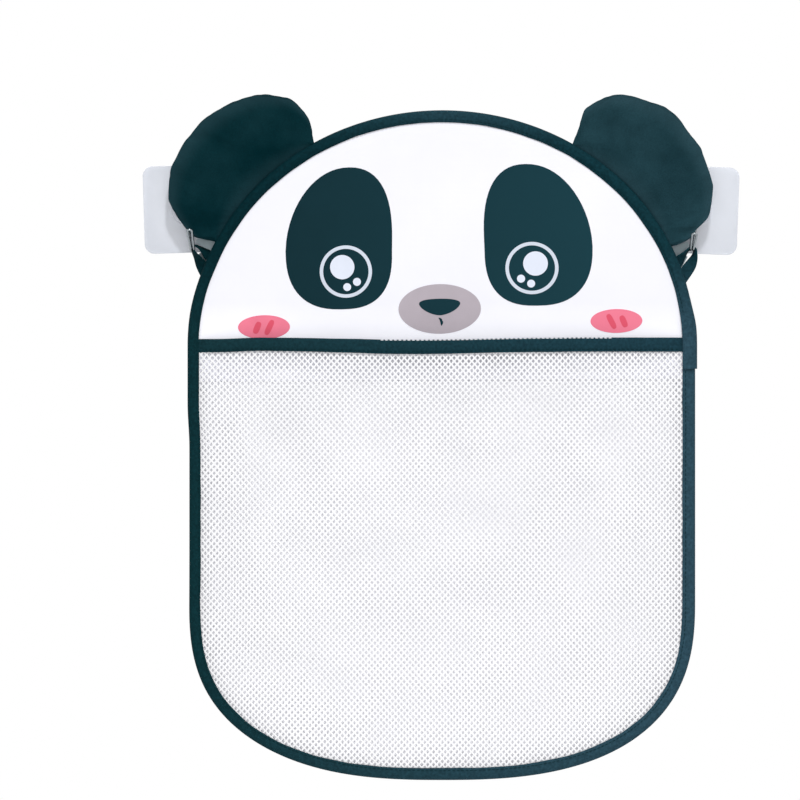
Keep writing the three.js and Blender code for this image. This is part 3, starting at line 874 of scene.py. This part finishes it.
class BATHBAG_OT_pocket(bpy.types.Operator):
    """Makes the net and the bound mouth of the pocket, in halves"""

    bl_idname = "bathbag.pocket"
    bl_label = "Net Pocket"

    def execute(self, context):
        sizes = context.scene.bathbag_sizes
        colours = context.scene.bathbag_colours
        yarn = net_yarn(colours.net)
        tape = woven_tape("mouth_tape", colours.mouth_left_shaded, colours.mouth_right_lit)
        pale = sewing_thread("pale_thread", colours.thread)
        dark = bpy.data.materials["dark_thread"]
        for side, name in ((-1, "left"), (1, "right")):
            bm = bmesh.new()
            net_half(bm, side, sizes)
            net = make_piece(bm, f"net_{name}", yarn)
            open_blend(net)
            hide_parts("mesh_pocket")
            bm = bmesh.new()
            mouth_half(bm, side, sizes)
            mouth = make_piece(bm, f"mouth_tape_{name}", tape, pale, dark)
            open_blend(mouth)
            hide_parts("mouth_binding")
        return {"FINISHED"}


# The ears' cut outlines in millimetres, from the inner end of the root seam round to its lower end
EAR_OUTLINES = {
    "left": (
        *((-83.2, 43.3), (-84.4, 48.5), (-85.4, 54.6), (-87.8, 61.0), (-91.6, 65.9), (-95.5, 69.9)),
        *((-99.5, 72.7), (-105.2, 73.8), (-110.8, 74.8), (-115.7, 75.3), (-121.3, 74.8), (-127.8, 73.2)),
        *((-136.7, 70.2), (-144.0, 66.2), (-151.2, 61.9), (-156.9, 57.4), (-161.7, 51.6), (-167.8, 44.2)),
        *((-171.3, 37.9), (-176.3, 27.7), (-177.4, 20.6), (-178.1, 12.5), (-178.1, 7.3), (-176.8, 3.5)),
        *((-172.2, -4.6), (-166.4, -12.5), (-161.7, -17.0), (-154.5, -19.1), (-147.0, -20.8)),
    ),
    "right": (
        *((84.4, 42.6), (87.0, 48.9), (89.4, 55.4), (91.4, 62.8), (93.8, 66.5), (99.1, 69.9)),
        *((105.6, 73.1), (112.5, 75.0), (118.5, 75.0), (126.6, 73.3), (134.7, 70.4), (141.2, 68.6)),
        *((146.2, 66.1), (154.1, 59.4), (159.8, 51.1), (167.4, 41.6), (169.9, 35.2), (172.8, 27.5)),
        *((175.8, 17.8), (175.8, 10.1), (174.5, 0.4), (173.0, -4.4), (170.3, -7.8), (164.6, -13.5)),
        *((160.6, -18.8), (154.1, -22.2), (147.5, -23.8)),
    ),
}


def ear_cushion(outline, puff):
    """A soft ear: two cloths sewn round a turned edge over thin wadding, gathered into the binding at its root."""
    columns, layers, seam = 96, 16, 1.2 * MM
    rim = [Vector((p.x, p.z)) for p in flat_curve(outline, columns + 1)]
    for i, p in enumerate(rim):
        ahead = direction_at(rim, i)
        p += Vector((ahead.y, -ahead.x)) * 0.22 * MM * wander(p.x, p.y, 4.5, 40)
    first, last = [atan2((p.y - SHOULDER_Z) / DOME_RISE, p.x / HALF_WIDTH) for p in (rim[0], rim[-1])]
    root = []
    for i in range(columns + 1):
        a = first + (last - first) * i / columns
        root.append(Vector(((HALF_WIDTH - seam) * cos(a), SHOULDER_Z + (DOME_RISE - seam) * sin(a))))

    def thickness(i, v):
        body = min(1.0, (rim[i] - root[i]).length / (26 * MM)) ** 0.6
        hump = sin(pi * min(1.0, v * 0.92 + 0.06)) ** 0.55
        edge = sqrt(max(0.0, 1 - v**10))
        return (2.4 * MM * (1 - v) + (puff - 1.6 * MM) * hump * body + 1.0 * MM * v) * edge

    def drape(p, v):
        fold = 1.1 * MM * wander(p.x, p.y, 30, 21) + 0.5 * MM * wander(p.x, p.y, 12, 32)
        crease = 0.9 * MM * exp(-(((v - 0.28) / 0.1) ** 2))
        return (fold * (1 - 0.6 * v) + crease) * smooth_step(v / 0.25)

    rows, reaches = [], []
    for face, k in [(1, k) for k in range(layers + 1)] + [(-1, k) for k in range(layers - 1, -1, -1)]:
        v = sin(0.5 * pi * k / layers)
        row = []
        for i in range(columns + 1):
            at = root[i].lerp(rim[i], v)
            row.append(point(at.x, EAR_DEPTH + face * thickness(i, v) / 2 + drape(at, v), at.y))
        rows.append(row)
        reaches.append(v)
    bm = bmesh.new()
    sewn = bm.verts.layers.deform.verify()
    grid = loft(bm, [*rows, rows[0]], [*reaches, 0.0], [i / columns for i in range(columns + 1)])
    for vert in grid[0] + grid[layers] + grid[-1]:
        vert[sewn][0] = 1.0
    cap_ends(bm)
    weld(bm)
    return bm


def puff_up(piece, limit):
    """Lets the wadding press an ear's two cloths apart between their seams, and keeps the settled shape. The cloth is
    cut a little full, so it wrinkles where it is sewn; no point moves further than the limit."""
    scene = bpy.context.scene
    piece.vertex_groups.new(name="sewn")
    cloth = piece.modifiers.new("wadding", "CLOTH")
    for name, value in {
        "quality": 6,
        "mass": 0.3,
        "tension_stiffness": 15,
        "compression_stiffness": 15,
        "shear_stiffness": 5,
        "bending_stiffness": 0.05,
        "use_pressure": True,
        "uniform_pressure_force": 1.2,
        "shrink_min": -0.03,
        "vertex_group_mass": "sewn",
    }.items():
        setattr(cloth.settings, name, value)
    cloth.settings.effector_weights.gravity = 0
    cloth.collision_settings.use_collision = False
    for step in range(1, 21):
        scene.frame_set(step)
    settled = piece.evaluated_get(bpy.context.evaluated_depsgraph_get()).data
    moves = [b.co - a.co for a, b in zip(piece.data.vertices, settled.vertices)]
    piece.modifiers.remove(cloth)
    scene.frame_set(1)
    for vert, move in zip(piece.data.vertices, moves):
        vert.co += move * min(1.0, limit / max(move.length, 1e-9))


class BATHBAG_OT_ears(bpy.types.Operator):
    """Makes the two soft ears"""

    bl_idname = "bathbag.ears"
    bl_label = "Ears"

    def execute(self, context):
        sizes = context.scene.bathbag_sizes
        colours = context.scene.bathbag_colours
        # The left ear's cloth is given painted shade and the right ear's painted light.
        for side, name, colour in ((-1, "left", colours.ear_left_shaded), (1, "right", colours.ear_right_lit)):
            bm = ear_cushion(EAR_OUTLINES[name], sizes.ear_puff)
            ear = make_piece(bm, f"{name}_ear_cushion", brushed_ear_cloth(f"{name}_ear_cloth", colour))
            puff_up(ear, 1.6 * MM)
            soften = ear.modifiers.new("soft", "SUBSURF")
            soften.levels = soften.render_levels = 1
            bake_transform(ear)
            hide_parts(*(f"{name}_ear_{layer}" for layer in ("front", "wadding", "back")))
        return {"FINISHED"}


INKS = ("ink_dark", "ink_pale", "ink_light", "ink_grey", "ink_pink", "ink_rose")

# The print in millimetres: ink, layer, share left open in its middle, centre, half width, rise and drop, and for some
# the powers that round it above and below, its lean and its turn in degrees. The first list is one half of the face.
PAIRED_SHAPES = (
    ("ink_dark", 0, 0, (-64.4, 12.4), 34.6, 54.2, 38, 2.2, 2.55, 7.6),
    ("ink_pale", 1, 0.868, (-60, -1.1), 17, 17, 17),
    ("ink_light", 1, 0, (-62.3, 1.8), 7.9, 7.9, 7.9),
    ("ink_light", 1, 0, (-59.3, -11.2), 2.55, 2.55, 2.55),
    ("ink_light", 1, 0, (-52.9, -7.9), 2.6, 2.6, 2.6),
    ("ink_pink", 0, 0, (-113.5, -36.3), 16.6, 7.7, 7.8),
    ("ink_rose", 1, 0, (-118.1, -36.7), 1.9, 4, 4, 3, 3, 0, -22),
    ("ink_rose", 1, 0, (-110.3, -36.6), 1.8, 5.2, 5.2, 3, 3, 0, -26),
)
MIDDLE_SHAPES = (
    ("ink_grey", 0, 0, (0.6, -26.3), 26.8, 16.1, 16.1),
    ("ink_dark", 1, 0, (0.6, -22.9), 13.4, 3.2, 7.6, 2.4, 1.6),
    ("ink_dark", 1, 0, (1.8, -34.9), 0.95, 2.3, 2.4, 2, 1.4, -1.4),
    ("ink_dark", 1, 0, (0.9, -32.8), 0.5, 1.3, 1.3, 2, 2, 0, 60),
)


def ink_outline(half_width, rise, drop, rise_power=2, drop_power=2, lean=0, turn=0):
    """A rounded outline that may be fuller below than above, or lean."""
    outline = []
    for i in range(65):
        a = tau * i / 64
        upper = sin(a) >= 0
        power = 2 / (rise_power if upper else drop_power)
        high = abs(sin(a)) ** power
        x = half_width * abs(cos(a)) ** power * (1 if cos(a) >= 0 else -1)
        x += lean * high**1.45 if upper else 0.17 * lean * high**2
        outline.append(Matrix.Rotation(radians(turn), 2) @ Vector((x, rise * high if upper else -drop * high)))
    return outline


def press_ink(bm, centre, outline, layer, material, inner):
    """Lays an inked shape on the head, a hair above the layer below it; inner leaves its middle open."""
    rows = []
    for share in [1.0, inner] if inner else [1 - k / 7 for k in range(8)]:
        row = []
        for x, z in (centre.lerp(p, share) * MM for p in outline):
            row.append(sewn_point(x, head_depth(x, z) + (0.12 + 0.1 * layer) * MM, z))
        rows.append(row)
    made = bmesh.new()
    loft(made, rows)
    weld(made)
    face_front(made)
    thicken(made, 0.08 * MM)
    mesh = bpy.data.meshes.new("ink")
    made.to_mesh(mesh)
    made.free()
    join(bm, mesh, material)


class BATHBAG_OT_print(bpy.types.Operator):
    """Prints the animal's face on the head"""

    bl_idname = "bathbag.print"
    bl_label = "Face Print"

    def execute(self, context):
        colours = context.scene.bathbag_colours
        # The dark ink gets painted light, darker on the left and paler on the right by a factor of 1.5.
        inks = [printed_ink(name, getattr(colours, name), 1.5 if name == "ink_dark" else 1.0) for name in INKS]
        middle, turned = Vector((-2.7, -38)), Matrix.Rotation(radians(0.9), 2)
        bm = bmesh.new()
        # The right half of the face is a little wider and higher than the left.
        for flip, lift, shapes in ((1, 0, PAIRED_SHAPES), (-1.016, 0.4, PAIRED_SHAPES), (1, 0, MIDDLE_SHAPES)):
            for ink, layer, inner, centre, *form in shapes:
                spots = [Vector(centre), *(Vector(centre) + p for p in ink_outline(*form))]
                placed = [middle + turned @ Vector((p.x * flip, p.y + lift)) for p in spots]
                press_ink(bm, placed[0], placed[1:], layer, INKS.index(ink), inner)
        face = make_piece(bm, "face_print", *inks)
        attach(face, "bag")
        return {"FINISHED"}


# A strap's section, as shares of half its width and half its thickness, a little fuller in the middle, and how far
# round the tape each of its points is
TAPE_SECTION = (
    *((-1, -1), (-0.5, -1.15), (0, -1.2), (0.5, -1.15), (1, -1)),
    *((1, 1), (0.5, 1.15), (0, 1.2), (-0.5, 1.15), (-1, 1), (-1, -1)),
)
TAPE_GIRTH = [q * MM for q in (0, 1, 2, 3, 4, 4.5, 5.5, 6.5, 7.5, 8.5, 9)]

# The straps' lines in millimetres: the loop over the hook, and the two lengths of its grey reverse
STRAP_PATHS = {
    "left": (
        (
            *((-145.0, -35.2), (-151.5, -29.6), (-156.0, -25.8), (-159.6, -23.4), (-161.4, -23.0)),
            *((-162.8, -24.2), (-162.2, -26.6), (-159.4, -31.2), (-155.7, -37.7), (-151.2, -45.6)),
        ),
        ((-142.0, -25.0), (-149.5, -22.8), (-160.2, -19.6)),
        ((-148.0, -40.0), (-153.0, -34.4), (-158.4, -28.0)),
    ),
    "right": (
        (
            *((146.4, -41.4), (153.2, -33.9), (157.4, -28.9), (160.6, -25.2), (162.4, -24.2)),
            *((164.6, -25.4), (164.4, -29.4), (162.5, -34.2), (158.6, -40.4), (152.0, -50.0)),
        ),
        ((141.0, -32.6), (149.4, -28.0), (160.6, -21.6)),
        ((149.2, -42.0), (153.8, -36.4), (158.8, -29.2)),
    ),
}


def ribbon(bm, line, sections, thickness):
    """A tape along a line; each section is its depth, half its width and how flat it lies, 0 on edge and 1 flat."""
    rows = []
    for i, (at, (depth, half, lie)) in enumerate(zip(line, sections)):
        ahead = direction_at(line, i)
        across = Vector((-ahead.z, 0, ahead.x)) * sin(lie * pi / 2) + Vector((0, -1, 0)) * cos(lie * pi / 2)
        normal = ahead.cross(across).normalized()
        centre = at + point(0, depth, 0)
        rows.append([centre + across * half * u + normal * thickness / 2 * w for u, w in TAPE_SECTION])
    loft(bm, rows, distances(line), TAPE_GIRTH)
    cap_ends(bm)


def strap_loop(path, lie):
    """A loop of tape that turns on edge over the hook and lies flat after this share of its outer leg."""
    count = 72
    line = flat_curve(path, count)
    top = max(range(count), key=lambda i: line[i].z)
    sections = []
    for i in range(count):
        share = abs(i - top) / (top if i < top else count - 1 - top)
        flat = 0.12 + 0.88 * smooth_step(share / (lie if i > top else 1))
        sections.append((STRAP_DEPTH, (2.2 + 1.8 * smooth_step(share / 0.55)) * MM, flat))
    bm = bmesh.new()
    ribbon(bm, line, sections, 1 * MM)
    return bm


def strap_reverse(bm, path, wide, narrow):
    """A length of a strap's grey reverse behind the loop, from where it is sewn towards the hook."""
    count = 24
    sections = []
    for t in (i / (count - 1) for i in range(count)):
        sections.append((STRAP_DEPTH - (0.5 + 3.2 * t**0.7) * MM, (narrow + (wide - narrow) * (1 - t)) * MM, 1.0))
    ribbon(bm, flat_curve(path, count), sections, 0.4 * MM)


class BATHBAG_OT_straps(bpy.types.Operator):
    """Makes the two strap loops that hang on the hooks"""

    bl_idname = "bathbag.straps"
    bl_label = "Strap Loops"

    def execute(self, context):
        tape = bpy.data.materials["woven_tape"]
        grey = white_cloth("strap_reverse", context.scene.bathbag_colours.lining)
        for name, lie in (("left", 1.0), ("right", 0.62)):
            path, upper, inner = STRAP_PATHS[name]
            strap = make_piece(strap_loop(path, lie), f"{name}_strap_loop", tape)
            bm = bmesh.new()
            strap_reverse(bm, upper, 6.0, 1.4)
            strap_reverse(bm, inner, 3.0, 1.6)
            # The tape is grey on the side that shows inside the loop, and dark on the side to the wall.
            for face in bm.faces:
                face.material_index = int(face.normal.y > 0.2)
            reverse = make_piece(bm, f"{name}_strap_reverse", grey, tape)
            for piece in (strap, reverse):
                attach(piece, "bag")
                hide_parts(f"{name}_strap")
        return {"FINISHED"}


def hook_line(tip_z):
    """The wire's middle line at the pad: down from the boss, round the bend, up the tip, and back beside itself."""
    radius, seat, narrow, slope = 1.5 * MM, 4.4 * MM, 0.62, radians(35)
    bend, bend_z, straight_z = 4 * MM, -22.5 * MM, -7 * MM

    def leg(x):
        places = [(x, seat, 3 * MM), (x, seat, -2 * MM), (x, seat, straight_z)]
        x *= narrow
        for t in (i / 6 for i in range(1, 6)):
            depth = seat + (STRAP_DEPTH - bend - seat) * smooth_step(t)
            places.append((x, depth, straight_z + (bend_z - straight_z) * t))
        for a in ((pi - slope) * i / 12 for i in range(13)):
            places.append((x, STRAP_DEPTH - bend * cos(a), bend_z - bend * sin(a)))
        return places

    left = leg(-radius)
    _, depth, z = left[-1]
    run = (tip_z - z) / cos(slope) - radius - 0.75 * MM
    tip, turn = [], []
    for t in ((i + 0.5) / 5 for i in range(4)):
        across = radius * (narrow + (1 - narrow) * t)
        tip.append((-across, depth + run * sin(slope) * t, z + run * cos(slope) * t))
    for a in (pi * i / 8 for i in range(9)):
        far = run + radius * sin(a)
        turn.append((-radius * cos(a), depth + far * sin(slope), z + far * cos(slope)))
    back = [(-x, d, h) for x, d, h in reversed(tip)]
    return left + tip + turn + back + leg(radius)[::-1]


def round_edges(bm, radius, segments):
    """Rounds the sharp edges of a moulded or cut piece."""
    sharp = [e for e in bm.edges if len(e.link_faces) == 2 and e.calc_face_angle() > radians(60)]
    bmesh.ops.bevel(bm, geom=sharp, offset=radius, segments=segments, profile=0.5, affect="EDGES", material=-1)


def hook_wire(place, tip_z, radius):
    """The hairpin of bright wire that carries the strap."""
    line = curve_through([place @ point(*q) for q in hook_line(tip_z)], 260)
    bm = bmesh.new()
    join(bm, round_tubes([[(p, 1) for p in line]], radius, 4))
    weld(bm)
    return bm


def hook_boss(place):
    """The round moulded boss that holds the wire on the pad, turned from its profile of (radius, depth)."""
    profile = ((0, 1.6), (10.6, 1.6), (10.6, 3.9), (10.3, 5.0), (9.5, 6.0), (8.2, 6.6), (6.6, 6.8), (0, 6.8))
    bm = bmesh.new()
    verts = [bm.verts.new(point(r * MM, d * MM, 0)) for r, d in profile]
    chain = [bm.edges.new(pair) for pair in zip(verts, verts[1:])]
    bmesh.ops.spin(bm, geom=verts + chain, cent=(0, 0, 0), axis=(0, 1, 0), angle=tau, steps=56, use_merge=True)
    weld(bm)
    round_edges(bm, 0.25 * MM, 2)
    bmesh.ops.transform(bm, matrix=place, verts=bm.verts[:])
    return bm


def hook_pad(place):
    """The clear square pad with round corners, in front of its glue."""
    half, corner, thickness = 28.6 * MM, 6.5 * MM, 1 * MM
    bm = bmesh.new()
    bmesh.ops.create_grid(bm, x_segments=1, y_segments=1, size=half)
    bmesh.ops.bevel(
        bm, geom=bm.verts[:], offset=corner, segments=10, profile=0.5, affect="VERTICES", material=-1
    )
    raised = bmesh.ops.extrude_face_region(bm, geom=bm.faces[:])["geom"]
    bmesh.ops.translate(bm, vec=(0, 0, thickness), verts=of_kind(raised, bmesh.types.BMVert))
    bmesh.ops.transform(bm, matrix=place @ Matrix.Rotation(pi / 2, 4, "X"), verts=bm.verts[:])
    bmesh.ops.recalc_face_normals(bm, faces=bm.faces[:])
    round_edges(bm, 0.35 * MM, 3)
    return bm


class BATHBAG_OT_hooks(bpy.types.Operator):
    """Makes the pads, bosses and wires of the two adhesive hooks"""

    bl_idname = "bathbag.hooks"
    bl_label = "Adhesive Hooks"

    def execute(self, context):
        sizes = context.scene.bathbag_sizes
        colours = context.scene.bathbag_colours
        film, glue, steel = clear_film(colours.film), tacky_glue(colours.film), drawn_steel(colours.steel)
        # Each hook is stuck on by hand, so its pad is shifted by millimetres and turned by degrees.
        for side, name, shift, turn, tip in (
            (-1, "left", (-0.3, 1.3), 1.7, -12.6),
            (1, "right", (-1.2, 0.7), 2.2, -15),
        ):
            stuck = Matrix.Translation((shift[0] * MM, 0, shift[1] * MM))
            leaning = Matrix.Translation((side * HOOK_X, 0, 0)) @ Matrix.Rotation(side * HOOK_LEAN, 4, "Y")
            turned = Matrix.Translation((side * HOOK_X, -PAD_BACK, 0)) @ Matrix.Rotation(side * radians(turn), 4, "Y")
            for form, node, bm, look, slot in (
                ("wire", "hook", hook_wire(leaning, tip * MM, sizes.wire / 2), steel, "steel"),
                ("boss", "boss", hook_boss(stuck @ leaning), film, "film"),
                ("pad", "pad", hook_pad(stuck @ turned), film, "film"),
            ):
                piece = make_piece(bm, f"{name}_hook_{form}", look)
                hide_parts(f"{name}_{node}")
                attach(piece, "wall_hooks")
            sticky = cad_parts[f"{name}_adhesive"]
            sticky.data.materials.clear()
            sticky.data.materials.append(glue)
        return {"FINISHED"}


class BATHBAG_OT_stage(bpy.types.Operator):
    """Sets the camera, the lamps, the pale floor and the white surround"""

    bl_idname = "bathbag.stage"
    bl_label = "Stage"

    def execute(self, context):
        scene = context.scene
        scene.view_settings.view_transform = "Standard"
        world = bpy.data.worlds.new("white_surround")
        world.use_nodes = True
        scene.world = world
        tree = world.node_tree
        path = add_node(tree, "LightPath")
        seen = path["Is Camera Ray"]
        for kind in ("Is Glossy Ray", "Is Transmission Ray"):
            seen = add_node(tree, "Math", {"operation": "MAXIMUM"}, {0: seen, 1: path[kind]})[0]
        strength = add_node(tree, "MapRange", None, {"Value": seen, "To Min": 0.62, "To Max": 1.0})["Result"]
        background = tree.nodes["Background"].inputs
        tree.links.new(strength, background["Strength"])
        background["Color"].default_value = (1, 1, 1, 1)

        bm = bmesh.new()
        below = Matrix.Translation((0, 0, -0.46))
        bmesh.ops.create_circle(bm, cap_ends=True, segments=96, radius=0.55, matrix=below)
        look, tree, spots = new_material("pale_floor", Roughness=0.9)
        connect(tree, Base_Color=add_mottle(tree, spots["Object"], 0.3, linear("#F2F2F2"), linear("#F7F7F7")))
        make_piece(bm, "floor", look)

        middle = Vector((0, 0, -0.15))
        for name, place, size, power in (
            ("key", (0.33, -2.33, 2.89), 0.42, 72.0),
            ("fill", (0.1, -1.9, 0.1), 1.4, 5.0),
            ("back", (-0.5, 1.4, 0.9), 1.2, 7.0),
        ):
            lamp = bpy.data.lights.new(name, "AREA")
            lamp.shape = "DISK"
            lamp.size = size
            lamp.energy = power
            made = bpy.data.objects.new(name, lamp)
            made.location = place
            made.rotation_euler = (middle - Vector(place)).to_track_quat("-Z", "Y").to_euler()
            scene.collection.objects.link(made)

        # The picture's pixels are true to size at the bag's front, and its own origin is off its middle.
        distance, front, sensor = 3.0, 17 * MM, 36
        camera = bpy.data.cameras.new("camera")
        camera.sensor_width = sensor
        camera.lens = sensor * (distance - front) / (PICTURE * PIXEL)
        made = bpy.data.objects.new("camera", camera)
        across, down = ORIGIN_PIXEL
        made.location = ((PICTURE / 2 - across) * PIXEL, -distance, (down - PICTURE / 2) * PIXEL)
        made.rotation_euler = (pi / 2, 0, 0)
        scene.collection.objects.link(made)
        scene.camera = made
        return {"FINISHED"}


class BATHBAG_PT_panel(bpy.types.Panel):
    """Lists the bag's sizes, colours and pieces"""

    bl_idname = "BATHBAG_PT_panel"
    bl_label = "Bath Toy Bag"
    bl_space_type = "VIEW_3D"
    bl_region_type = "UI"
    bl_category = "Bath Bag"

    def draw(self, context):
        for group in (context.scene.bathbag_sizes, context.scene.bathbag_colours):
            box = self.layout.box()
            for name in group.__annotations__:
                box.prop(group, name)
        for operator in OPERATORS:
            self.layout.operator(operator.bl_idname)


OPERATORS = (
    BATHBAG_OT_stage,
    BATHBAG_OT_sheets,
    BATHBAG_OT_binding,
    BATHBAG_OT_pocket,
    BATHBAG_OT_ears,
    BATHBAG_OT_print,
    BATHBAG_OT_straps,
    BATHBAG_OT_hooks,
)
CLASSES = (BagSizes, BagColours, *OPERATORS, BATHBAG_PT_panel)


def register():
    for kind in CLASSES:
        bpy.utils.register_class(kind)
    bpy.types.Scene.bathbag_sizes = PointerProperty(type=BagSizes)
    bpy.types.Scene.bathbag_colours = PointerProperty(type=BagColours)


def unregister():
    del bpy.types.Scene.bathbag_colours
    del bpy.types.Scene.bathbag_sizes
    for kind in reversed(CLASSES):
        bpy.utils.unregister_class(kind)


def main():
    register()
    bpy.ops.bathbag.stage()
    bpy.ops.bathbag.sheets()
    bpy.ops.bathbag.binding()
    bpy.ops.bathbag.pocket()
    bpy.ops.bathbag.ears()
    bpy.ops.bathbag.print()
    bpy.ops.bathbag.straps()
    bpy.ops.bathbag.hooks()


if __name__ == "__main__":
    main()
